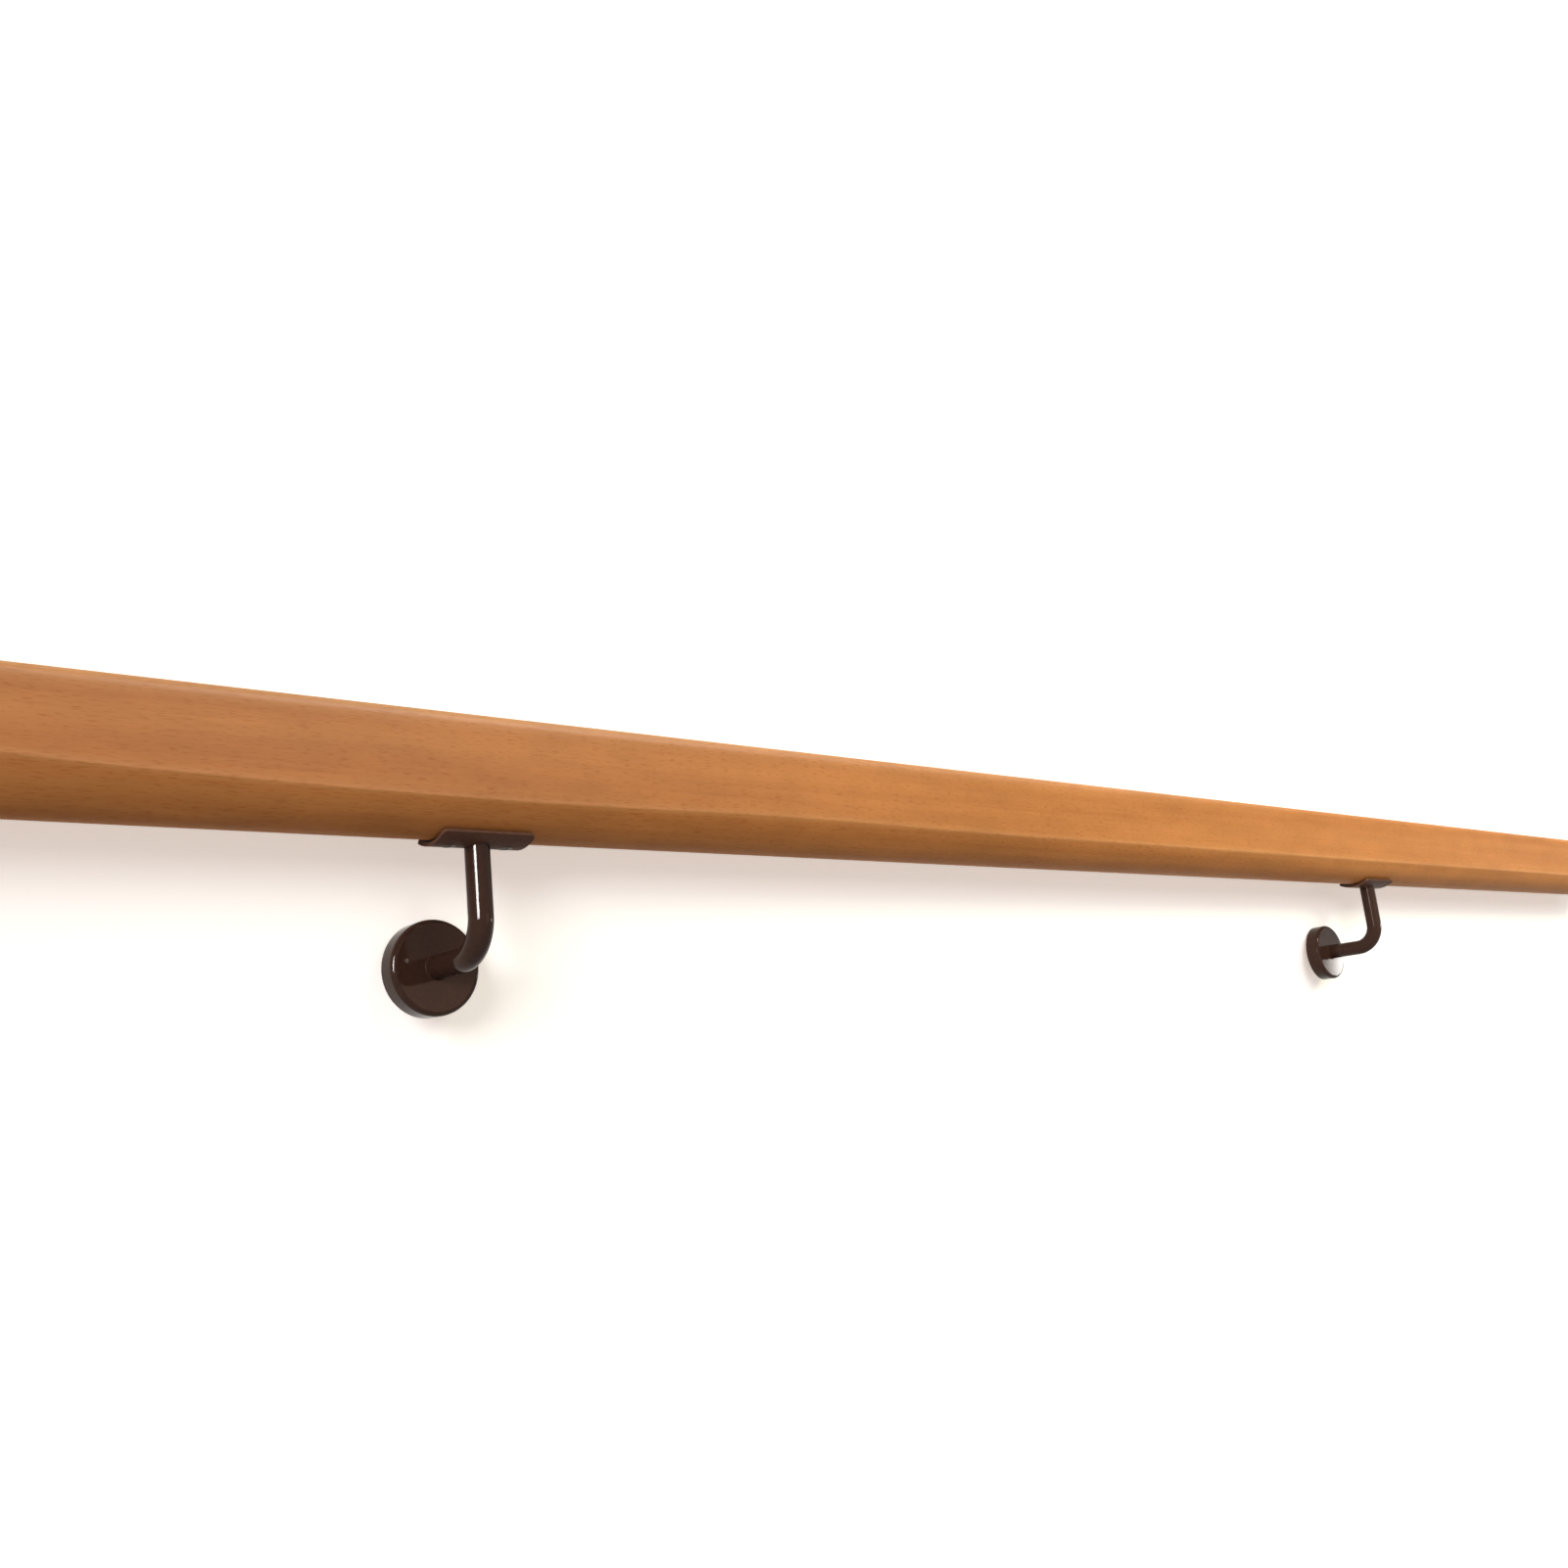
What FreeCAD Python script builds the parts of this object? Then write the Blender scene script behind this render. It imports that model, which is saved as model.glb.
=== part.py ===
import FreeCAD, Part
import math
import os

# A wooden stair handrail on two painted wall brackets, lying on its back on a level floor.
# Each piece is first built as it hangs on a wall: X along the rail, Y into the wall, Z up,
# with Y = 0 on the rail's middle plane and Z = 0 at the lowest line of the rail.
# Then the whole part is laid down on the rosettes' rims and the rail's rear top edge.

# Driving dimensions, in millimetres

# Rail
RAIL_LENGTH = 2000.0
RAIL_WIDTH = 45.0
RAIL_HEIGHT = 56.0
ARRIS_HEIGHT = 16.0
TOP_ROUNDING = 6.0
BELLY_MIDDLE_WIDTH = 16.0
BELLY_MIDDLE_RADIUS = 20.0
END_EASING = 1.0

# Brackets
BRACKET_SPACING = 880.0
WALL_DISTANCE = 54.0
ARM_DROP = 53.0
STEM_DIAMETER = 12.0
BEND_RADIUS = 18.0
STEM_THREAD_CORE = 6.8
STEM_THREAD_DEPTH = 25.0

# Saddle
SADDLE_LENGTH = 48.0
SADDLE_CHORD = 25.0
SADDLE_RADIUS = 22.0
SADDLE_THICKNESS = 1.7
SADDLE_CORNER = 2.5

# Stem's end, riveted over inside the saddle
TENON_DIAMETER = 8.0
RIVET_DIAMETER = 10.0
RIVET_HEIGHT = 1.2

# Rosette
ROSETTE_DIAMETER = 47.0
ROSETTE_DEPTH = 11.0
ROSETTE_WALL = 1.5
ROSETTE_EDGE = 2.5

# Wood screws
SCREW_EDGE = 9.0
SCREW_DIAMETER = 4.0
SCREW_LENGTH = 30.0
SCREW_TIP = 5.0
SCREW_HEAD_DIAMETER = 7.0
SCREW_HEAD_DOME = 0.3
RECESS_LENGTH = 4.2
RECESS_WIDTH = 0.9
RECESS_DEPTH = 1.3

# Clearances
SEAT_CLEARANCE = 0.1
HOLE_CLEARANCE = 0.2
PILOT_CLEARANCE = 0.05
PILOT_SPARE = 1.0

# Sizes worked out from the driving dimensions

HALF_WIDTH = RAIL_WIDTH / 2
ROSETTE_RADIUS = ROSETTE_DIAMETER / 2
STEM_RADIUS = STEM_DIAMETER / 2
SCREW_RADIUS = SCREW_DIAMETER / 2
HEAD_RADIUS = SCREW_HEAD_DIAMETER / 2
TENON_RADIUS = TENON_DIAMETER / 2
SCREW_SPACING = SADDLE_LENGTH - 2 * SCREW_EDGE

# Belly of the rail: a tighter arc in the middle, then a flatter arc up to the arris
BELLY_SIDE = BELLY_MIDDLE_WIDTH / 2
BELLY_START = math.asin(BELLY_SIDE / BELLY_MIDDLE_RADIUS)
BELLY_RISE = BELLY_MIDDLE_RADIUS * (1 - math.cos(BELLY_START))
CHORD_ANGLE = math.atan2(ARRIS_HEIGHT - BELLY_RISE, HALF_WIDTH - BELLY_SIDE)
CHORD_LENGTH = math.hypot(ARRIS_HEIGHT - BELLY_RISE, HALF_WIDTH - BELLY_SIDE)
BELLY_END = 2 * CHORD_ANGLE - BELLY_START
SIDE_RADIUS = CHORD_LENGTH / (2 * math.sin((BELLY_END - BELLY_START) / 2))
SIDE_CENTRE_Y = BELLY_SIDE - SIDE_RADIUS * math.sin(BELLY_START)
SIDE_CENTRE_Z = BELLY_RISE + SIDE_RADIUS * math.cos(BELLY_START)

# The rail lies on the stem's riveted end, which stands inside the saddle
SADDLE_HALF_ANGLE = math.asin(SADDLE_CHORD / 2 / SADDLE_RADIUS)
SADDLE_CENTRE_Z = SADDLE_RADIUS - RIVET_HEIGHT - SEAT_CLEARANCE
SADDLE_OUTER = SADDLE_RADIUS + SADDLE_THICKNESS
SADDLE_BOTTOM = SADDLE_CENTRE_Z - SADDLE_OUTER

# Pose on the floor: a level plane touches the rosettes' upper rims and the rail's rear top edge
RIM_Y = WALL_DISTANCE
RIM_Z = ROSETTE_RADIUS - ARM_DROP
EDGE_Y = HALF_WIDTH - TOP_ROUNDING
EDGE_Z = RAIL_HEIGHT - TOP_ROUNDING
REACH = math.hypot(RIM_Y - EDGE_Y, RIM_Z - EDGE_Z)
LEAN = math.acos(TOP_ROUNDING / REACH) - math.atan2(EDGE_Z - RIM_Z, RIM_Y - EDGE_Y)
TURN = -(math.pi / 2 + LEAN)
FLOOR_Z = RIM_Y * math.sin(TURN) + RIM_Z * math.cos(TURN)
BACK_Y = TOP_ROUNDING - EDGE_Y * math.cos(TURN) - EDGE_Z * math.sin(TURN)
FRONT_Y = WALL_DISTANCE * math.cos(TURN) + (ARM_DROP + ROSETTE_RADIUS) * math.sin(TURN)
MIDDLE_Y = (BACK_Y + FRONT_Y) / 2


def point(y, z, x=0.0):
    return FreeCAD.Vector(x, y, z)


def line(a, b):
    return Part.LineSegment(a, b).toShape()


def arc(a, b, c):
    return Part.Arc(a, b, c).toShape()


def on_circle(centre_y, centre_z, radius, angle, x=0.0):
    """Point on a circle across the rail, the angle counted from straight down towards the wall."""
    return point(centre_y + radius * math.sin(angle), centre_z - radius * math.cos(angle), x)


def swept(edges, length):
    """Solid with the section made by the edges, carried along the rail."""
    return Part.Face(Part.Wire(edges)).extrude(FreeCAD.Vector(length, 0, 0))


def turned(edges, centre, axis):
    """Solid of revolution of the section made by the edges."""
    return Part.Face(Part.Wire(edges)).revolve(centre, axis, 360)


def build_rail():
    x = -RAIL_LENGTH / 2
    shoulder = math.sqrt(0.5) * TOP_ROUNDING
    middle = (BELLY_START + BELLY_END) / 2

    def side_arc(side):
        start = point(side * BELLY_SIDE, BELLY_RISE, x)
        through = on_circle(SIDE_CENTRE_Y, SIDE_CENTRE_Z, SIDE_RADIUS, middle, x)
        through.y *= side
        return start, through, point(side * HALF_WIDTH, ARRIS_HEIGHT, x)

    def top_arc(side):
        start = point(side * HALF_WIDTH, EDGE_Z, x)
        through = point(side * (EDGE_Y + shoulder), EDGE_Z + shoulder, x)
        return start, through, point(side * EDGE_Y, RAIL_HEIGHT, x)

    rear, front = side_arc(1), side_arc(-1)
    rear_top, front_top = top_arc(1), top_arc(-1)
    edges = [
        arc(front[0], point(0, 0, x), rear[0]),
        arc(*rear),
        line(rear[2], rear_top[0]),
        arc(*rear_top),
        line(rear_top[2], front_top[2]),
        arc(*reversed(front_top)),
        line(front_top[0], front[2]),
        arc(*reversed(front)),
    ]
    rail = swept(edges, RAIL_LENGTH)
    ends = [e for e in rail.Edges if e.BoundBox.XLength < END_EASING]
    rail = rail.makeFillet(END_EASING, ends)
    for side in (-1, 1):
        for screw in (-1, 1):
            x_screw = side * BRACKET_SPACING / 2 + screw * SCREW_SPACING / 2
            deep = SADDLE_BOTTOM + SCREW_LENGTH + PILOT_SPARE
            rail = rail.cut(
                Part.makeCylinder(
                    SCREW_RADIUS + PILOT_CLEARANCE,
                    deep - SADDLE_BOTTOM,
                    point(0, SADDLE_BOTTOM, x_screw),
                )
            )
    return rail


def build_saddle(x):
    start = x - SADDLE_LENGTH / 2
    half = SADDLE_HALF_ANGLE

    def at(radius, angle):
        return on_circle(0, SADDLE_CENTRE_Z, radius, angle, start)

    edges = [
        arc(at(SADDLE_OUTER, -half), at(SADDLE_OUTER, 0), at(SADDLE_OUTER, half)),
        line(at(SADDLE_OUTER, half), at(SADDLE_RADIUS, half)),
        arc(at(SADDLE_RADIUS, half), at(SADDLE_RADIUS, 0), at(SADDLE_RADIUS, -half)),
        line(at(SADDLE_RADIUS, -half), at(SADDLE_OUTER, -half)),
    ]
    saddle = swept(edges, SADDLE_LENGTH)
    corners = [e for e in saddle.Edges if e.Length < SADDLE_THICKNESS * 1.01]
    saddle = saddle.makeFillet(SADDLE_CORNER, corners)
    sink = HEAD_RADIUS + SEAT_CLEARANCE
    hole = SCREW_RADIUS + HOLE_CLEARANCE
    low = point(0, SADDLE_BOTTOM, x)
    saddle = saddle.cut(Part.makeCylinder(TENON_RADIUS + HOLE_CLEARANCE, SADDLE_THICKNESS * 2, low))
    for screw in (-1, 1):
        x_screw = x + screw * SCREW_SPACING / 2
        base = point(0, SADDLE_BOTTOM, x_screw)
        saddle = saddle.cut(Part.makeCylinder(hole, SADDLE_THICKNESS * 2, base))
        saddle = saddle.cut(Part.makeCone(sink, hole, sink - hole, base))
    return saddle


def build_stem(x):
    top = SADDLE_CENTRE_Z
    bend_z = BEND_RADIUS - ARM_DROP
    heel = BEND_RADIUS * (1 - math.sqrt(0.5))
    path = Part.Wire(
        [
            line(point(0, top, x), point(0, bend_z, x)),
            arc(
                point(0, bend_z, x),
                point(heel, heel - ARM_DROP, x),
                point(BEND_RADIUS, -ARM_DROP, x),
            ),
            line(point(BEND_RADIUS, -ARM_DROP, x), point(WALL_DISTANCE, -ARM_DROP, x)),
        ]
    )
    ring = Part.Wire(Part.makeCircle(STEM_RADIUS, point(0, top, x), FreeCAD.Vector(0, 0, -1)))
    stem = path.makePipeShell([ring], True, False)
    along = FreeCAD.Vector(1, 0, 0)
    middle = point(0, SADDLE_CENTRE_Z, x - SADDLE_LENGTH / 2)
    under = Part.makeCylinder(SADDLE_OUTER, SADDLE_LENGTH, middle, along)
    inside = Part.makeCylinder(SADDLE_RADIUS, SADDLE_LENGTH, middle, along)
    foot = point(0, SADDLE_BOTTOM - STEM_RADIUS, x)
    rise = -SEAT_CLEARANCE - foot.z
    tenon = Part.makeCylinder(TENON_RADIUS, rise, foot)
    rivet = Part.makeCylinder(RIVET_DIAMETER / 2, rise, foot).common(inside)
    thread = Part.makeCylinder(
        STEM_THREAD_CORE / 2,
        STEM_THREAD_DEPTH,
        point(WALL_DISTANCE - STEM_THREAD_DEPTH, -ARM_DROP, x),
        FreeCAD.Vector(0, 1, 0),
    )
    return stem.cut(under).fuse([tenon, rivet]).removeSplitter().cut(thread)


def build_rosette(x):
    bore = STEM_RADIUS + SEAT_CLEARANCE
    face = WALL_DISTANCE - ROSETTE_DEPTH
    inner = ROSETTE_RADIUS - ROSETTE_WALL
    ease = ROSETTE_EDGE * (1 - math.sqrt(0.5))

    def at(radius, y):
        return point(y, radius - ARM_DROP, x)

    edges = [
        line(at(bore, face), at(ROSETTE_RADIUS - ROSETTE_EDGE, face)),
        arc(
            at(ROSETTE_RADIUS - ROSETTE_EDGE, face),
            at(ROSETTE_RADIUS - ease, face + ease),
            at(ROSETTE_RADIUS, face + ROSETTE_EDGE),
        ),
        line(at(ROSETTE_RADIUS, face + ROSETTE_EDGE), at(ROSETTE_RADIUS, WALL_DISTANCE)),
        line(at(ROSETTE_RADIUS, WALL_DISTANCE), at(inner, WALL_DISTANCE)),
        line(at(inner, WALL_DISTANCE), at(inner, face + ROSETTE_WALL)),
        line(at(inner, face + ROSETTE_WALL), at(bore, face + ROSETTE_WALL)),
        line(at(bore, face + ROSETTE_WALL), at(bore, face)),
    ]
    return turned(edges, point(0, -ARM_DROP, x), FreeCAD.Vector(0, 1, 0))


def build_screw(x):
    base = SADDLE_BOTTOM
    cone = HEAD_RADIUS - SCREW_RADIUS
    end = base + SCREW_LENGTH
    dome_radius = (HEAD_RADIUS ** 2 + SCREW_HEAD_DOME ** 2) / (2 * SCREW_HEAD_DOME)
    half = math.asin(HEAD_RADIUS / dome_radius) / 2
    through_r = dome_radius * math.sin(half)
    through_z = base - SCREW_HEAD_DOME + dome_radius * (1 - math.cos(half))

    def at(radius, z):
        return point(0, z, x + radius)

    edges = [
        arc(at(0, base - SCREW_HEAD_DOME), at(through_r, through_z), at(HEAD_RADIUS, base)),
        line(at(HEAD_RADIUS, base), at(SCREW_RADIUS, base + cone)),
        line(at(SCREW_RADIUS, base + cone), at(SCREW_RADIUS, end - SCREW_TIP)),
        line(at(SCREW_RADIUS, end - SCREW_TIP), at(0, end)),
        line(at(0, end), at(0, base - SCREW_HEAD_DOME)),
    ]
    screw = turned(edges, point(0, 0, x), FreeCAD.Vector(0, 0, 1))
    low = base - SCREW_HEAD_DOME
    long_half, short_half = RECESS_LENGTH / 2, RECESS_WIDTH / 2
    bar = Part.makeBox(
        RECESS_LENGTH, RECESS_WIDTH, RECESS_DEPTH, point(-short_half, low, x - long_half)
    )
    cross_bar = Part.makeBox(
        RECESS_WIDTH, RECESS_LENGTH, RECESS_DEPTH, point(-long_half, low, x - short_half)
    )
    return screw.cut(bar.fuse(cross_bar))


def laid(shape):
    """The shape turned from its place on the wall to its place on the floor."""
    shape = shape.copy()
    shape.rotate(FreeCAD.Vector(0, 0, 0), FreeCAD.Vector(1, 0, 0), math.degrees(TURN))
    shape.translate(FreeCAD.Vector(0, -MIDDLE_Y, -FLOOR_Z))
    return shape


def build_all():
    shapes = {"handrail": build_rail()}
    for name, side in (("left", -1), ("right", 1)):
        x = side * BRACKET_SPACING / 2
        outer, inner = x + side * SCREW_SPACING / 2, x - side * SCREW_SPACING / 2
        shapes[name + "_saddle"] = build_saddle(x)
        shapes[name + "_stem"] = build_stem(x)
        shapes[name + "_rosette"] = build_rosette(x)
        shapes[name + "_screw_outer"] = build_screw(outer)
        shapes[name + "_screw_inner"] = build_screw(inner)
    return shapes


os.makedirs("parts", exist_ok=True)
for node, shape in build_all().items():
    laid(shape).exportStep("parts/" + node + ".step")
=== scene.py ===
"""Looks of a varnished beech stair handrail on two dark painted wall brackets.

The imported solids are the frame. The rail's surface is worked out again here with its hand-shaped
arris, and the brackets keep their solids and get their paint. All lengths are in metres.
"""

import logging
import math
from dataclasses import dataclass, replace
from enum import Enum
from typing import Any

import bpy
import numpy as np
from mathutils import Matrix, Vector


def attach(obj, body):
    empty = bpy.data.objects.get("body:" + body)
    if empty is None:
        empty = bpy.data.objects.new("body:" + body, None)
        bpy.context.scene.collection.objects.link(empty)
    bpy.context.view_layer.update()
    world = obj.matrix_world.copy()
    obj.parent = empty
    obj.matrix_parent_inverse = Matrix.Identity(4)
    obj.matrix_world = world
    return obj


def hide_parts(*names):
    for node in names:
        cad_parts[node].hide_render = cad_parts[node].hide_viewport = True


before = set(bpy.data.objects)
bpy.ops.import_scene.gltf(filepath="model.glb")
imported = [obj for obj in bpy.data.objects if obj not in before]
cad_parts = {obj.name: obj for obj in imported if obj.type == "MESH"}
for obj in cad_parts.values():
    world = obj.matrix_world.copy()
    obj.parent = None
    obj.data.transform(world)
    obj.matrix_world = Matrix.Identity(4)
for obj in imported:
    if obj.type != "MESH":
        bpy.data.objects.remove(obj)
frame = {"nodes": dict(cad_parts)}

log = logging.getLogger("handrail")
IMAGE_SIZE = 1601
SENSOR = 36.0
MILLI = 0.001
# Mesh attribute of worn edges and painted sheen along the rail's arris and top rounding
WEAR_AND_SHEEN = "wear_and_sheen"

# A colour is red, green and blue, a triple runs along X, Y and Z, and stops are places and greys
Colour = tuple[float, float, float]
Triple = tuple[float, float, float]
Stops = tuple[tuple[float, float], tuple[float, float]]


class Slot(Enum):
    """Material slots of the record that new pieces take."""

    BEECH = "beech"
    PAINT = "bracket_paint"


class Side(Enum):
    """The two brackets, with the sign of their place along the rail."""

    LEFT = -1
    RIGHT = 1


def about_x(points: np.ndarray, angle: float) -> np.ndarray:
    """Turns points or directions about the X axis.

    Formula: x stays, and y and z go round a circle.

    Args:
        points: array of shape (..., 3).
        angle: turn, in radians.

    Returns:
        The turned array, of the same shape.
    """
    cos, sin = math.cos(angle), math.sin(angle)
    x, y, z = np.moveaxis(np.asarray(points, float), -1, 0)
    return np.stack([x, y * cos - z * sin, y * sin + z * cos], axis=-1)


@dataclass(frozen=True)
class Pose:
    """Turn of the part from its mounted place to its place on the floor.

    Mounted, X runs along the rail, Y from its front to its back and Z up, with Y = 0 on the rail's
    middle plane and Z = 0 at the rail's lowest line.
    """

    half_width: float = 22.5 * MILLI
    rail_height: float = 56 * MILLI
    top_rounding: float = 6 * MILLI
    wall_distance: float = 54 * MILLI
    arm_drop: float = 53 * MILLI
    rosette_radius: float = 23.5 * MILLI

    @property
    def edge(self) -> np.ndarray:
        """Centre of the rail's rear top rounding, as mounted y and z."""
        return np.array([self.half_width, self.rail_height]) - self.top_rounding

    @property
    def rim_z(self) -> float:
        """Mounted height of the rosettes' upper rims."""
        return self.rosette_radius - self.arm_drop

    @property
    def turn(self) -> float:
        """Angle about X at which the rosettes' rims and the rear top edge share the floor.

        Returns:
            The angle, in radians.
        """
        edge_y, edge_z = self.edge
        across, along = self.wall_distance - edge_y, edge_z - self.rim_z
        lean = math.acos(self.top_rounding / math.hypot(across, along)) - math.atan2(along, across)
        return -(math.pi / 2 + lean)

    def turned(self, points: np.ndarray) -> np.ndarray:
        """Turns mounted points or directions as the part lies, without moving them."""
        return about_x(points, self.turn)

    def unturned(self, points: np.ndarray) -> np.ndarray:
        """Turns points or directions of the lying part back, without moving them."""
        return about_x(points, -self.turn)

    def laid(self, points: np.ndarray) -> np.ndarray:
        """Lays mounted points on the floor, centred across it.

        Args:
            points: array of shape (..., 3).

        Returns:
            The points in the frame of the lying part.
        """
        cos, sin = math.cos(self.turn), math.sin(self.turn)
        edge_y, edge_z = self.edge
        floor = self.wall_distance * sin + self.rim_z * cos
        back = self.top_rounding - edge_y * cos - edge_z * sin
        front = self.wall_distance * cos + (self.arm_drop + self.rosette_radius) * sin
        return self.turned(points) - np.array([0.0, (back + front) / 2, floor])


POSE = Pose()


@dataclass(frozen=True)
class Grain:
    """One layer of noise: its waves in a metre, its finer layers and the greys it turns into."""

    waves: Triple
    detail: float
    stops: Stops = ((0.0, 0.0), (1.0, 1.0))


class Nodes:
    """A material's node tree, with short calls to add and join nodes."""

    def __init__(self, name: str) -> None:
        """Starts an empty material with an output node.

        Args:
            name: material name.
        """
        self.material = bpy.data.materials.new(name)
        self.material.use_nodes = True
        self.tree = self.material.node_tree
        self.tree.nodes.clear()
        self.output = self.tree.nodes.new("ShaderNodeOutputMaterial")

    def put(self, socket: bpy.types.NodeSocket, value: Any) -> None:
        """Links an input to another node's socket, or sets it.

        Args:
            socket: the input.
            value: socket, number, vector or colour.
        """
        if isinstance(value, bpy.types.NodeSocket):
            self.tree.links.new(value, socket)
        elif socket.type == "RGBA":
            socket.default_value = (*value, 1.0)
        else:
            socket.default_value = value

    def add(self, kind: str, **inputs: Any) -> bpy.types.Node:
        """Adds a node and sets or links its inputs.

        Args:
            kind: node type without its ShaderNode prefix.
            inputs: values or sockets by input name, with spaces written as underscores.

        Returns:
            The new node.
        """
        node = self.tree.nodes.new("ShaderNode" + kind)
        for name, value in inputs.items():
            self.put(node.inputs[name.replace("_", " ")], value)
        return node

    def mapped(self, turn: float, scale: Triple = (1.0, 1.0, 1.0)) -> bpy.types.NodeSocket:
        """Object coordinates turned about X and then stretched.

        Args:
            turn: angle about X, in radians.
            scale: factor on each axis after the turn.

        Returns:
            The mapped vector socket.
        """
        coords = self.add("TexCoord").outputs["Object"]
        turned = self.add("Mapping", Vector=coords, Rotation=(turn, 0.0, 0.0)).outputs[0]
        return self.add("Mapping", Vector=turned, Scale=scale).outputs[0]

    def noise(self, grain: Grain, turn: float = 0.0) -> bpy.types.NodeSocket:
        """Soft grey noise with a layer's waves, on Object coordinates turned about X."""
        vector = self.mapped(turn, grain.waves)
        return self.add("TexNoise", Vector=vector, Scale=1.0, Detail=grain.detail).outputs["Fac"]

    def layer(self, grain: Grain, turn: float = 0.0) -> bpy.types.NodeSocket:
        """Soft noise turned into the greys of its layer."""
        return self.ramp(self.noise(grain, turn), grain.stops)

    def attribute(self, name: str) -> bpy.types.NodeSocket:
        """Reads a number that the mesh carries at its points.

        Args:
            name: attribute name.

        Returns:
            The attribute's grey socket.
        """
        node = self.add("Attribute")
        node.attribute_name = name
        return node.outputs["Fac"]

    def spot(self, place: Triple, size: Triple) -> bpy.types.NodeSocket:
        """Soft ball, 1 at its middle and 0 outside.

        Object coordinates that are only turned back keep the shift of the lying part, so the ball's
        place gets the same shift.

        Args:
            place: its mounted middle.
            size: its half length, half depth and half height, along the mounted axes.

        Returns:
            The ball's grey socket.
        """
        centre = np.array(place) + POSE.unturned(POSE.laid(np.zeros(3)))
        stretch = tuple(1.0 / s for s in size)
        shift = tuple(float(-c / s) for c, s in zip(centre, size))
        vector = self.mapped(-POSE.turn)
        ball = self.add("Mapping", Vector=vector, Scale=stretch, Location=shift).outputs[0]
        gradient = self.add("TexGradient", Vector=ball)
        gradient.gradient_type = "SPHERICAL"
        return gradient.outputs["Fac"]

    def ramp(self, factor: bpy.types.NodeSocket, stops: Stops) -> bpy.types.NodeSocket:
        """Grey colour ramp with two stops.

        Args:
            factor: socket that is looked up.
            stops: position and grey value of each stop.

        Returns:
            The colour socket.
        """
        node = self.add("ValToRGB", Fac=factor)
        for element, (position, grey) in zip(node.color_ramp.elements, stops):
            element.position = position
            element.color = (grey, grey, grey, 1.0)
        return node.outputs["Color"]

    def mix(self, kind: str, factor: Any, first: Any, second: Any) -> bpy.types.NodeSocket:
        """Mixes two colours.

        Args:
            kind: blend type, such as MIX or MULTIPLY.
            factor: number or socket.
            first: colour or socket.
            second: colour or socket.

        Returns:
            The mixed colour socket.
        """
        node = self.add("Mix")
        node.data_type = "RGBA"
        node.blend_type = kind
        for identifier, value in (("Factor_Float", factor), ("A_Color", first), ("B_Color", second)):
            self.put(next(s for s in node.inputs if s.identifier == identifier), value)
        return next(s for s in node.outputs if s.identifier == "Result_Color")

    def relief(self, height: bpy.types.NodeSocket, strength: float, depth: float) -> bpy.types.NodeSocket:
        """Bumps of a depth in metres from a grey socket."""
        return self.add("Bump", Height=height, Strength=strength, Distance=depth).outputs[0]

    def finish(self, shader: bpy.types.Node) -> bpy.types.Material:
        """Joins the shader to the output and returns the material."""
        self.tree.links.new(shader.outputs[0], self.output.inputs["Surface"])
        return self.material


def toned(colour: Colour, share: float) -> Colour:
    """A colour at a share of its brightness."""
    return tuple(c * share for c in colour)


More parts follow.
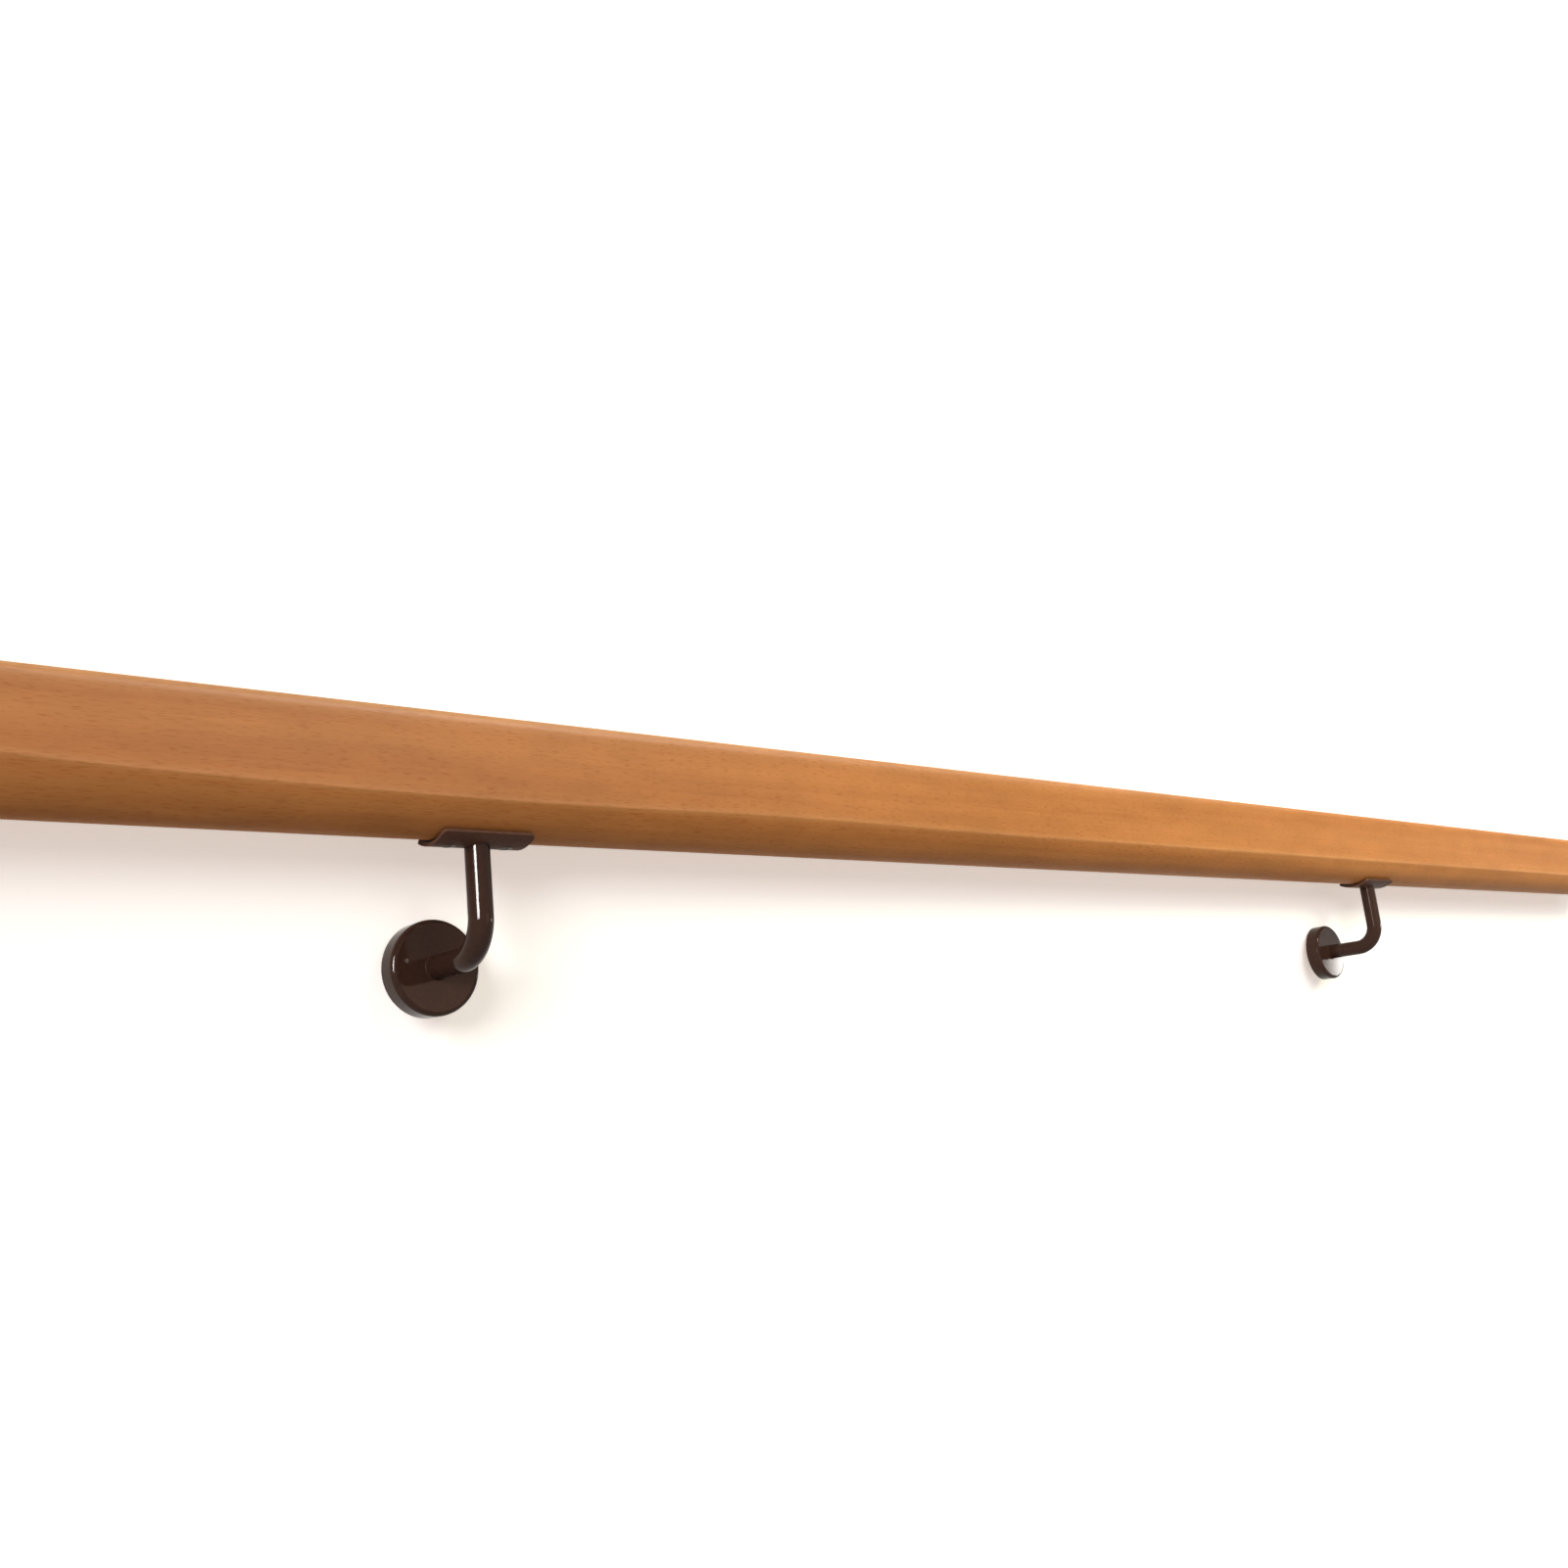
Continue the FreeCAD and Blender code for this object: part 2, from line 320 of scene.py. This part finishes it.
@dataclass(frozen=True)
class BeechFinish:
    """Steamed beech under satin varnish: soft clouds, streaks along the grain and ray flecks."""

    light: Colour = (0.522, 0.203, 0.062)
    dark: Colour = (0.448, 0.161, 0.047)
    fleck_tone: Colour = (0.86, 0.79, 0.70)
    # Paler, whiter tone for worn edges and painted sheen
    wear_and_sheen_tone: Colour = (1.16, 1.50, 2.05)
    roughness: float = 0.48
    specular: float = 0.03
    relief: float = 0.05
    relief_depth: float = 0.4 * MILLI

    # Layers of the long faces
    bands: Grain = Grain((1.6, 90.0, 90.0), 3.0, ((0.3, 0.0), (0.7, 1.0)))
    clouds: Grain = Grain((7.0, 30.0, 30.0), 3.0, ((0.3, 0.89), (0.7, 1.05)))
    mottles: Grain = Grain((30.0, 75.0, 75.0), 2.0, ((0.3, 0.94), (0.7, 1.04)))
    fibres: Grain = Grain((14.0, 700.0, 700.0), 2.0, ((0.3, 0.93), (0.7, 1.0)))
    flecks: Grain = Grain((170.0, 1700.0, 1700.0), 1.0, ((0.56, 0.0), (0.68, 1.0)))

    # Dark nick in the front top edge
    nick_tone: Colour = (0.16, 0.09, 0.06)
    nick_place: Triple = (-1.4 * MILLI, -20.5 * MILLI, 51.5 * MILLI)
    nick_size: Triple = (5.0 * MILLI, 2.0 * MILLI, 2.2 * MILLI)
    nick_stops: Stops = ((0.0, 0.0), (0.5, 0.85))

    # End grain
    ring_scale: float = 34.0
    ring_distortion: float = 1.2
    ring_detail: float = 2.0
    end_dark: float = 0.62
    end_light: float = 0.72
    end_roughness: float = 0.6
    pores: Grain = Grain((900.0, 900.0, 900.0), 1.0, ((0.45, 1.0), (0.65, 0.75)))

    def material(self) -> bpy.types.Material:
        """Builds the varnished beech of the long faces.

        Returns:
            The material, which is paler where the mesh carries wear and painted sheen.
        """
        nodes = Nodes("varnished_beech")
        turn = -POSE.turn
        fibres = nodes.noise(self.fibres, turn)
        wood = nodes.mix("MIX", nodes.layer(self.bands, turn), self.dark, self.light)
        wood = nodes.mix("MULTIPLY", 1.0, wood, nodes.layer(self.clouds, turn))
        wood = nodes.mix("MULTIPLY", 1.0, wood, nodes.layer(self.mottles, turn))
        wood = nodes.mix("MULTIPLY", 1.0, wood, nodes.ramp(fibres, self.fibres.stops))
        flecked = nodes.mix("MULTIPLY", 1.0, wood, self.fleck_tone)
        wood = nodes.mix("MIX", nodes.layer(self.flecks, turn), wood, flecked)
        # Painted sheen and wear: paler, whiter wood along the arris and up the top rounding
        wood = nodes.mix("MULTIPLY", nodes.attribute(WEAR_AND_SHEEN), wood, self.wear_and_sheen_tone)
        nick = nodes.ramp(nodes.spot(self.nick_place, self.nick_size), self.nick_stops)
        wood = nodes.mix("MIX", nick, wood, self.nick_tone)
        shader = nodes.add(
            "BsdfPrincipled",
            Base_Color=wood,
            Roughness=self.roughness,
            Specular_IOR_Level=self.specular,
            Normal=nodes.relief(fibres, self.relief, self.relief_depth),
        )
        return nodes.finish(shader)

    def end_grain(self) -> bpy.types.Material:
        """Builds the darker end grain, with growth rings about the X axis.

        Returns:
            The material of the sawn ends.
        """
        nodes = Nodes("beech_end_grain")
        turn = -POSE.turn
        rings = nodes.add(
            "TexWave",
            Vector=nodes.mapped(turn),
            Scale=self.ring_scale,
            Distortion=self.ring_distortion,
            Detail=self.ring_detail,
        )
        rings.wave_type = "RINGS"
        rings.rings_direction = "X"
        dark, light = toned(self.dark, self.end_dark), toned(self.light, self.end_light)
        wood = nodes.mix("MIX", rings.outputs["Fac"], dark, light)
        wood = nodes.mix("MULTIPLY", 1.0, wood, nodes.layer(self.pores, turn))
        shader = nodes.add(
            "BsdfPrincipled",
            Base_Color=wood,
            Roughness=self.end_roughness,
            Specular_IOR_Level=self.specular,
        )
        return nodes.finish(shader)


@dataclass(frozen=True)
class PaintFinish:
    """Dark brown enamel on steel."""

    name: str = "gloss_enamel"
    colour: Colour = (0.037, 0.0165, 0.0120)
    sheen: Colour = (1.0, 0.82, 0.74)
    roughness: float = 0.07
    specular: float = 0.12
    thin: float = 0.85
    peel: Grain = Grain((420.0, 420.0, 420.0), 1.0, ((0.3, 0.0), (0.7, 1.0)))
    relief: float = 0.02
    relief_depth: float = 0.2 * MILLI

    def material(self) -> bpy.types.Material:
        """Builds the enamel, darker where it lies thin, with a faint orange-peel unevenness.

        Returns:
            The material.
        """
        nodes = Nodes(self.name)
        peel = nodes.noise(self.peel)
        cover = nodes.ramp(peel, self.peel.stops)
        shader = nodes.add(
            "BsdfPrincipled",
            Base_Color=nodes.mix("MIX", cover, toned(self.colour, self.thin), self.colour),
            Roughness=self.roughness,
            Specular_IOR_Level=self.specular,
            Specular_Tint=self.sheen,
            Normal=nodes.relief(peel, self.relief, self.relief_depth),
        )
        return nodes.finish(shader)


GLOSS_PAINT = PaintFinish()
SATIN_PAINT = replace(GLOSS_PAINT, name="satin_enamel", roughness=0.42, specular=0.02)
# Painted light: the saddle has the stem's enamel, made about three times paler to stand in for the light
# it gets
LIGHTENED_PLATE_PAINT = replace(SATIN_PAINT, name="lightened_plate_enamel", colour=(0.112, 0.052, 0.035))


@dataclass(frozen=True)
class ScrewFinish:
    """Browned steel of the wood screws, a little duller than the brackets."""

    colour: Colour = (0.060, 0.036, 0.027)
    roughness: float = 0.38
    specular: float = 0.15
    cloudy: float = 0.7
    clouds: Grain = Grain((300.0, 300.0, 300.0), 2.0)

    def material(self) -> bpy.types.Material:
        """Builds the browned steel with slightly cloudy colour.

        Returns:
            The material.
        """
        nodes = Nodes("browned_screw_steel")
        clouds = nodes.noise(self.clouds)
        shader = nodes.add(
            "BsdfPrincipled",
            Base_Color=nodes.mix("MIX", clouds, toned(self.colour, self.cloudy), self.colour),
            Roughness=self.roughness,
            Specular_IOR_Level=self.specular,
        )
        return nodes.finish(shader)


def seen_rays(tree: bpy.types.NodeTree) -> bpy.types.NodeSocket:
    """Adds nodes that tell seen rays from the rays that only carry light.

    Args:
        tree: node tree of a material or world.

    Returns:
        Socket that is 1 for camera, glossy and transmission rays and 0 for others.
    """
    path = tree.nodes.new("ShaderNodeLightPath").outputs
    seen = path["Is Camera Ray"]
    for name in ("Is Glossy Ray", "Is Transmission Ray"):
        either = tree.nodes.new("ShaderNodeMath")
        either.operation = "MAXIMUM"
        tree.links.new(seen, either.inputs[0])
        tree.links.new(path[name], either.inputs[1])
        seen = either.outputs[0]
    return seen


@dataclass(frozen=True)
class FloorFinish:
    """Matt white floor that reads as plain white and keeps the shadow."""

    colour: Colour = (0.87, 0.90, 0.97)
    glow: Colour = (1.0, 0.84, 0.72)
    lift: float = 0.52

    def material(self) -> bpy.types.Material:
        """Builds the floor: matt paint plus a small glow for seen rays.

        Returns:
            The material.
        """
        nodes = Nodes("white_floor")
        lift = nodes.add("Math")
        lift.operation = "MULTIPLY"
        nodes.put(lift.inputs[0], seen_rays(nodes.tree))
        nodes.put(lift.inputs[1], self.lift)
        paint = nodes.add("BsdfDiffuse", Color=self.colour)
        glow = nodes.add("Emission", Color=self.glow, Strength=lift.outputs[0])
        total = nodes.add("AddShader")
        nodes.put(total.inputs[0], paint.outputs[0])
        nodes.put(total.inputs[1], glow.outputs[0])
        return nodes.finish(total)


def grid_faces(rows: int, columns: int) -> np.ndarray:
    """Quads of a grid whose columns close into a ring.

    Args:
        rows: number of rings.
        columns: points in each ring.

    Returns:
        Array of shape (quads, 4) of vertex indices.
    """
    row, column = np.meshgrid(np.arange(rows - 1), np.arange(columns), indexing="ij")
    after = (column + 1) % columns
    ring, next_ring = row * columns, (row + 1) * columns
    quads = [ring + column, ring + after, next_ring + after, next_ring + column]
    return np.stack(quads, axis=-1).reshape(-1, 4)


def new_piece(
    name: str, points: np.ndarray, faces: list[list[int]], material: bpy.types.Material
) -> bpy.types.Object:
    """Makes a smooth-shaded mesh object at the origin.

    Args:
        name: object name.
        points: vertices of the lying part, in an array of shape (..., 3).
        faces: vertex indices of each face.
        material: finish of all faces.

    Returns:
        The new object.
    """
    mesh = bpy.data.meshes.new(name)
    mesh.from_pydata(points.reshape(-1, 3).tolist(), [], faces)
    mesh.polygons.foreach_set("use_smooth", np.ones(len(mesh.polygons), bool))
    mesh.materials.append(material)
    mesh.update()
    piece = bpy.data.objects.new(name, mesh)
    bpy.context.scene.collection.objects.link(piece)
    return piece


@dataclass
class Rail:
    """The beech rail: flat sides and top, rounded belly, and an arris shaped by hand."""

    # Section and length
    length: float = 2000 * MILLI
    half_width: float = POSE.half_width
    height: float = POSE.rail_height
    top_rounding: float = POSE.top_rounding
    arris_height: float = 16 * MILLI
    arris_ease: float = 0.5 * MILLI
    belly_side: float = 8 * MILLI
    belly_radius: float = 20 * MILLI
    end_easing: float = 1 * MILLI

    # Worn edges and painted sheen: the lighter share, the reach at the arris and the top, where full
    # painted sheen starts up the top rounding, and where it ends along the rail
    light_wear_and_sheen: float = 0.4
    arris_wear_and_sheen: float = 2.2 * MILLI
    top_sheen: float = 8.0 * MILLI
    top_sheen_gain: float = 1.4
    full_sheen_start: float = 2.6 * MILLI
    full_sheen_rise: float = 1.6 * MILLI
    top_sheen_end: float = 0.35
    top_sheen_fade: float = 0.75

    # Hand-shaped arris
    run_up: float = 4.6 * MILLI
    run_up_start: float = -0.66
    run_up_fall: float = 0.05
    wander: float = 1.2 * MILLI
    wander_middle: float = -0.34
    wander_length: float = 0.44
    wander_spread: float = 0.2

    # Points of each stretch of the half section, of an eased end, and rings along the rail
    belly_points: int = 8
    cheek_points: int = 20
    side_points: int = 13
    shoulder_points: int = 11
    top_points: int = 5
    easing_points: int = 5
    stations: int = 501

    finish: BeechFinish = BeechFinish()

    @property
    def knuckle(self) -> np.ndarray:
        """Centre of the half section's top rounding, as y and z."""
        return np.array([self.half_width, self.height]) - self.top_rounding

    def section(self) -> np.ndarray:
        """Half of the rail's section, from the lowest line to the middle of the top.

        Formula: a tighter arc, then a flatter arc that leaves it without a corner and ends on the
        arris, then the upright side, a quarter circle and the flat top. A point close to the arris
        on each side keeps it crisp.

        Returns:
            Array of shape (points, 2) of y, counted away from the middle plane, and z.
        """
        start = math.asin(self.belly_side / self.belly_radius)
        rise = self.belly_radius * (1 - math.cos(start))
        run, climb = self.half_width - self.belly_side, self.arris_height - rise
        end = 2 * math.atan2(climb, run) - start
        radius = math.hypot(run, climb) / (2 * math.sin((end - start) / 2))
        centre = [self.belly_side - radius * math.sin(start), rise + radius * math.cos(start)]
        low = np.linspace(0, start, self.belly_points, endpoint=False)
        belly = self.belly_radius * np.stack([np.sin(low), 1 - np.cos(low)], axis=1)
        flank = np.linspace(start, end - self.arris_ease / radius, self.cheek_points)
        flank = np.append(flank, end)
        cheek = np.array(centre) + radius * np.stack([np.sin(flank), -np.cos(flank)], axis=1)
        knuckle_y, knuckle_z = self.knuckle
        side_start = self.arris_height + self.arris_ease
        side_z = np.linspace(side_start, knuckle_z, self.side_points, endpoint=False)
        side = np.stack([np.full_like(side_z, self.half_width), side_z], axis=1)
        quarter = np.linspace(0, math.pi / 2, self.shoulder_points)
        shoulder = np.stack([np.cos(quarter), np.sin(quarter)], axis=1)
        shoulder = self.knuckle + self.top_rounding * shoulder
        top_y = np.linspace(knuckle_y, 0, self.top_points + 1)[1:]
        top = np.stack([top_y, np.full_like(top_y, self.height)], axis=1)
        return np.concatenate([belly, cheek, side, shoulder, top])

    def lift_share(self, section: np.ndarray) -> np.ndarray:
        """Share of the arris's wander that each point of the section follows.

        Formula: below the arris it grows with the square of y, and above it falls in a straight
        line to nothing at the top rounding.

        Args:
            section: points of the half section.

        Returns:
            Share of each point, from 0 to 1.
        """
        y, z = section.T
        knuckle_z = self.knuckle[1]
        below = np.clip(y / self.half_width, 0, 1) ** 2
        above = np.clip((knuckle_z - z) / (knuckle_z - self.arris_height), 0, 1)
        return np.where(z <= self.arris_height, below, above)

    def wear_and_sheen(self, section: np.ndarray) -> tuple[np.ndarray, np.ndarray]:
        """Wear and painted sheen of each point of the section, at the arris and at the top edge.

        Formula: both fall in a straight line with the distance from the edge. The arris has only the
        lighter share, wear with a painted highlight, and the top edge goes from that share to a full
        painted sheen up its rounding.

        Args:
            section: points of the half section.

        Returns:
            Wear with a painted highlight at the arris and painted sheen at the top, from 0 to 1.
        """
        arris = np.array([self.half_width, self.arris_height])
        crest = self.knuckle + self.top_rounding * math.sqrt(0.5)
        at_arris = np.clip(1 - np.hypot(*(section - arris).T) / self.arris_wear_and_sheen, 0, 1)
        from_crest = np.hypot(*(section - crest).T)
        at_top = np.clip(self.top_sheen_gain * (1 - from_crest / self.top_sheen), 0, 1)
        above = section[:, 1] - self.knuckle[1] - self.full_sheen_start
        upward = np.clip(above / self.full_sheen_rise, 0, 1)
        at_top *= self.light_wear_and_sheen + (1 - self.light_wear_and_sheen) * upward
        return self.light_wear_and_sheen * at_arris, at_top

    def arris_wander(self, x: np.ndarray) -> np.ndarray:
        """Height that the hand-shaped arris adds along the rail.

        Formula: a run-up that dies away exponentially from the left, plus one wave that fades to
        both sides like a bell curve.

        Args:
            x: places along the rail.

        Returns:
            Height at each place.
        """
        run_up = self.run_up * np.exp(-np.maximum(0.0, x - self.run_up_start) / self.run_up_fall)
        along = x - self.wander_middle
        bell = np.exp(-0.5 * (along / self.wander_spread) ** 2)
        return run_up + self.wander * bell * np.sin(2 * math.pi * along / self.wander_length)

    def places(self) -> tuple[np.ndarray, np.ndarray]:
        """Places of the rings along the rail, and how far each is drawn in.

        Formula: even steps, and at each end a quarter circle of the easing's radius.

        Returns:
            Place and inset of each ring.
        """
        ease = np.linspace(0, math.pi / 2, self.easing_points)
        reach = self.length / 2 - self.end_easing
        body = np.linspace(-reach, reach, self.stations)[1:-1]
        tip = reach + self.end_easing * np.sin(ease)
        inset = self.end_easing * (1 - np.cos(ease))
        x = np.concatenate([-tip[::-1], body, tip])
        return x, np.concatenate([inset[::-1], np.zeros_like(body), inset])

    def build(self) -> bpy.types.Object:
        """Carries the section along the rail, eases both ends and closes them.

        Formula: each ring is the section with its arris lifted, and near an end it shrinks towards
        its middle.

        Returns:
            The rail's object.
        """
        section = self.section()
        half = np.column_stack([section, self.lift_share(section), *self.wear_and_sheen(section)])
        front = half.copy()
        front[:, 0] *= -1
        y, z, share, at_arris, at_top = np.concatenate([front, half[-2:0:-1]]).T
        x, inset = self.places()
        middle = self.height / 2
        shrink = 1 - inset[:, None] / np.hypot(y, z - middle)
        points = np.empty((len(x), len(y), 3))
        points[..., 0] = x[:, None]
        points[..., 1] = y * shrink
        points[..., 2] = middle + (z - middle) * shrink + share * self.arris_wander(x)[:, None]
        faces = grid_faces(len(x), len(y)).tolist()
        first_ring = list(range(len(y)))
        last_ring = [index + (len(x) - 1) * len(y) for index in first_ring]
        faces += [first_ring, last_ring[::-1]]
        piece = new_piece("rail_surface", POSE.laid(points), faces, self.finish.material())
        piece.data.materials.append(self.finish.end_grain())
        for cap in (len(faces) - 2, len(faces) - 1):
            piece.data.polygons[cap].use_smooth = False
            piece.data.polygons[cap].material_index = 1
        # Painted sheen on the top rounding: full at the left and fading out towards the right
        left_sheen = np.clip((self.top_sheen_end - x) / self.top_sheen_fade, 0, 1)
        wear_and_sheen = np.maximum(at_arris, at_top * left_sheen[:, None])
        attribute = piece.data.attributes.new(WEAR_AND_SHEEN, "FLOAT", "POINT")
        attribute.data.foreach_set("value", wear_and_sheen.astype(np.float32).ravel())
        return piece

    def dress(self) -> None:
        """Puts the rail's surface in place of its solid."""
        piece = self.build()
        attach(piece, "root")
        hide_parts("handrail")
        log.info("%s: %d faces", piece.name, len(piece.data.polygons))


@dataclass
class Bracket:
    """One wall bracket: saddle, stem, rosette and two wood screws."""

    side: Side
    gloss: bpy.types.Material
    satin: bpy.types.Material
    lightened_plate: bpy.types.Material
    screw: bpy.types.Material
    half_spacing: float = 440 * MILLI
    arm_radius: float = 6 * MILLI
    rosette_depth: float = 11 * MILLI
    bead: float = 0.6 * MILLI
    sunk: float = 0.3 * MILLI
    bead_points: int = 7
    around: int = 96

    def build(self) -> bpy.types.Object:
        """Turns the bead of paint that closes the joint of arm and rosette.

        Formula: a hollow quarter circle from the arm to the rosette's face, closed by one corner
        inside the joint, carried round the arm's axis.

        Returns:
            The bead's object.
        """
        hollow = np.linspace(0, math.pi / 2, self.bead_points)
        face = POSE.wall_distance - self.rosette_depth
        radius = self.arm_radius + self.bead * (1 - np.cos(hollow))
        radius = np.append(radius, self.arm_radius - self.sunk)
        depth = np.append(face - self.bead * (1 - np.sin(hollow)), face + self.sunk)
        angle = np.linspace(0, 2 * math.pi, self.around, endpoint=False)[:, None]
        points = np.empty((self.around, len(radius), 3))
        points[..., 0] = self.side.value * self.half_spacing + radius * np.cos(angle)
        points[..., 1] = depth
        points[..., 2] = -POSE.arm_drop + radius * np.sin(angle)
        faces = grid_faces(self.around + 1, len(radius)) % (self.around * len(radius))
        name = self.side.name.lower() + "_paint_bead"
        return new_piece(name, POSE.laid(points), faces.tolist(), self.satin)

    def dress(self, nodes: dict[str, bpy.types.Object]) -> None:
        """Gives the bracket's solids their finishes and adds the bead of paint.

        Args:
            nodes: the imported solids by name.
        """
        prefix = self.side.name.lower() + "_"
        finishes = {
            # The saddle takes the paler copy of the enamel, painted light
            "saddle": self.lightened_plate,
            "stem": self.gloss,
            "rosette": self.gloss,
            "screw_outer": self.screw,
            "screw_inner": self.screw,
        }
        for piece, finish in finishes.items():
            node = nodes[prefix + piece]
            node.data.materials.clear()
            node.data.materials.append(finish)
            log.info("%s: dressed", node.name)
        bead = self.build()
        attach(bead, "root")
        log.info("%s: %d faces", bead.name, len(bead.data.polygons))


class Rays(Enum):
    """Kinds of ray that a lamp answers: diffuse and glossy."""

    MATT = (True, False)
    GLOSS = (False, True)


@dataclass(frozen=True)
class Lamp:
    """A soft lamp that faces a point: a rectangle, or far away where it has no size.

    Spread is a far lamp's width or a rectangle's beam, in degrees.
    """

    name: str
    rays: Rays
    place: Triple
    aim: Triple
    brightness: float
    size: tuple[float, float] | None = None
    spread: float = 180.0
    tint: Colour = (1.0, 1.0, 1.0)

    def build(self) -> None:
        """Hangs the lamp with its width level, as seen with the part mounted.

        A far lamp's brightness is that of a white face square to it, and a rectangle's is its own.
        """
        if self.size is None:
            data = bpy.data.lights.new(self.name, "SUN")
            data.energy = self.brightness * math.pi
            data.angle = math.radians(self.spread)
        else:
            data = bpy.data.lights.new(self.name, "AREA")
            data.shape = "RECTANGLE"
            data.size, data.size_y = self.size
            data.energy = self.brightness * math.pi * data.size * data.size_y
            data.spread = math.radians(self.spread)
        data.color = self.tint
        up = Vector(POSE.turned(np.array([0.0, 0.0, 1.0])).tolist())
        back = (Vector(self.place) - Vector(self.aim)).normalized()
        across = up.cross(back).normalized()
        axes = Matrix([across, back.cross(across), back]).transposed()
        lamp = bpy.data.objects.new(self.name, data)
        lamp.matrix_world = Matrix.Translation(self.place) @ axes.to_4x4()
        lamp.visible_diffuse, lamp.visible_glossy = self.rays.value
        bpy.context.scene.collection.objects.link(lamp)
        log.info("%s: lamp", self.name)


NEAR_BRACKET = (-0.44, 0.0, 0.03)
FAR_BRACKET = (0.44, 0.0, 0.03)
RAIL_LEFT = (-0.5, 0.06, 0.05)
RIGHT_ROOM = (1.7, 0.04, 0.04)
LAMPS = (
    Lamp(
        "skylight",
        Rays.MATT,
        place=(-2.2, 1.26, 1.48),
        aim=(0.0, 0.0, 0.0),
        brightness=0.88,
        spread=24.0,
        tint=(1.0, 0.985, 0.92),
    ),
    Lamp(
        "low_sky",
        Rays.MATT,
        place=(-0.3, 3.0, 0.4),
        aim=(0.0, 0.0, 0.05),
        brightness=0.30,
        spread=30.0,
        tint=(1.0, 0.98, 0.90),
    ),
    Lamp(
        "stair_light",
        Rays.MATT,
        place=(-0.1, 1.7, 1.8),
        aim=RIGHT_ROOM,
        brightness=8.2,
        size=(0.8, 0.8),
        spread=100.0,
        tint=(0.94, 1.03, 0.64),
    ),
    Lamp(
        "landing_window",
        Rays.GLOSS,
        place=(0.6, 2.4, 0.9),
        aim=RAIL_LEFT,
        brightness=76.0,
        size=(1.6, 1.5),
    ),
    Lamp(
        "near_window",
        Rays.GLOSS,
        place=(-1.12, 0.35, 0.50),
        aim=NEAR_BRACKET,
        brightness=8.0,
        size=(0.32, 0.38),
        spread=44.0,
        tint=(0.78, 0.92, 1.0),
    ),
    Lamp(
        "far_window",
        Rays.GLOSS,
        place=(2.272, 0.252, 0.778),
        aim=FAR_BRACKET,
        brightness=31.0,
        size=(0.2, 0.2),
        tint=(1.0, 0.98, 0.95),
    ),
    Lamp(
        "near_steps",
        Rays.GLOSS,
        place=(0.516, 0.52, 1.66),
        aim=NEAR_BRACKET,
        brightness=2.1,
        size=(0.6, 0.55),
        tint=(1.0, 0.74, 0.50),
    ),
)


@dataclass
class Stage:
    """Floor, light and camera, whose place and angles in degrees are given for the mounted part."""

    floor_half: float = 8.0
    room_light: float = 0.27
    room_tint: Colour = (1.0, 0.985, 0.965)
    focal_pixels: float = 1465.03
    camera_place: Triple = (-0.781783, -0.579923, -0.131207)
    camera_yaw: float = 42.995
    camera_pitch: float = 12.309
    camera_roll: float = -5.896
    camera_reach: float = 100.0

    def floor(self) -> None:
        """Lays a flat white floor under the part."""
        corners = np.array([[-1.0, -1.0, 0.0], [1.0, -1.0, 0.0], [1.0, 1.0, 0.0], [-1.0, 1.0, 0.0]])
        points = self.floor_half * corners
        floor = new_piece("floor", points, [[0, 1, 2, 3]], FloorFinish().material())

    def world(self) -> None:
        """Even pale light from all round, seen as white."""
        world = bpy.data.worlds.new("pale_room")
        world.use_nodes = True
        tree = world.node_tree
        light = tree.nodes["Background"]
        light.inputs["Color"].default_value = (*self.room_tint, 1.0)
        light.inputs["Strength"].default_value = self.room_light
        white = tree.nodes.new("ShaderNodeBackground")
        white.inputs["Color"].default_value = (1.0, 1.0, 1.0, 1.0)
        white.inputs["Strength"].default_value = 1.0
        either = tree.nodes.new("ShaderNodeMixShader")
        tree.links.new(seen_rays(tree), either.inputs["Fac"])
        tree.links.new(light.outputs[0], either.inputs[1])
        tree.links.new(white.outputs[0], either.inputs[2])
        tree.links.new(either.outputs[0], tree.nodes["World Output"].inputs["Surface"])
        bpy.context.scene.world = world

    def camera(self) -> None:
        """Sets up the camera at the photograph's angle.

        Formula: yaw turns the view from square to the rail towards its right end, pitch lifts it,
        and roll turns the picture about it.
        """
        angles = (self.camera_yaw, self.camera_pitch, self.camera_roll)
        yaw, pitch, roll = (math.radians(angle) for angle in angles)
        level = np.array([math.cos(yaw), -math.sin(yaw), 0.0])
        ahead = np.array([math.sin(yaw), math.cos(yaw), 0.0])
        forward = math.cos(pitch) * ahead + math.sin(pitch) * np.array([0.0, 0.0, 1.0])
        upright = np.cross(level, forward)
        right = math.cos(roll) * level + math.sin(roll) * upright
        up = np.cross(right, forward)
        axes = POSE.turned(np.stack([right, up, -forward]))
        place = POSE.laid(np.array(self.camera_place))
        data = bpy.data.cameras.new("camera")
        data.sensor_width = SENSOR
        data.lens = SENSOR * self.focal_pixels / IMAGE_SIZE
        data.clip_end = self.camera_reach
        camera = bpy.data.objects.new("camera", data)
        turn = Matrix(axes.T.tolist()).to_4x4()
        camera.matrix_world = Matrix.Translation(Vector(place.tolist())) @ turn
        bpy.context.scene.collection.objects.link(camera)
        bpy.context.scene.camera = camera

    def build(self) -> None:
        """Sets up the whole stage."""
        self.floor()
        self.world()
        for lamp in LAMPS:
            lamp.build()
        self.camera()
        bpy.context.scene.view_settings.view_transform = "Standard"
        log.info("stage: floor, world, lamps and camera")


def main() -> None:
    """Builds the rail, the brackets and the stage in order."""
    logging.basicConfig(level=logging.INFO, format="%(name)s: %(message)s")
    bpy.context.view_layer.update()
    Rail().dress()
    gloss = GLOSS_PAINT.material()
    satin = SATIN_PAINT.material()
    lightened_plate = LIGHTENED_PLATE_PAINT.material()
    screw = ScrewFinish().material()
    for side in Side:
        Bracket(side, gloss, satin, lightened_plate, screw).dress(frame["nodes"])
    Stage().build()


if __name__ == "__main__":
    main()
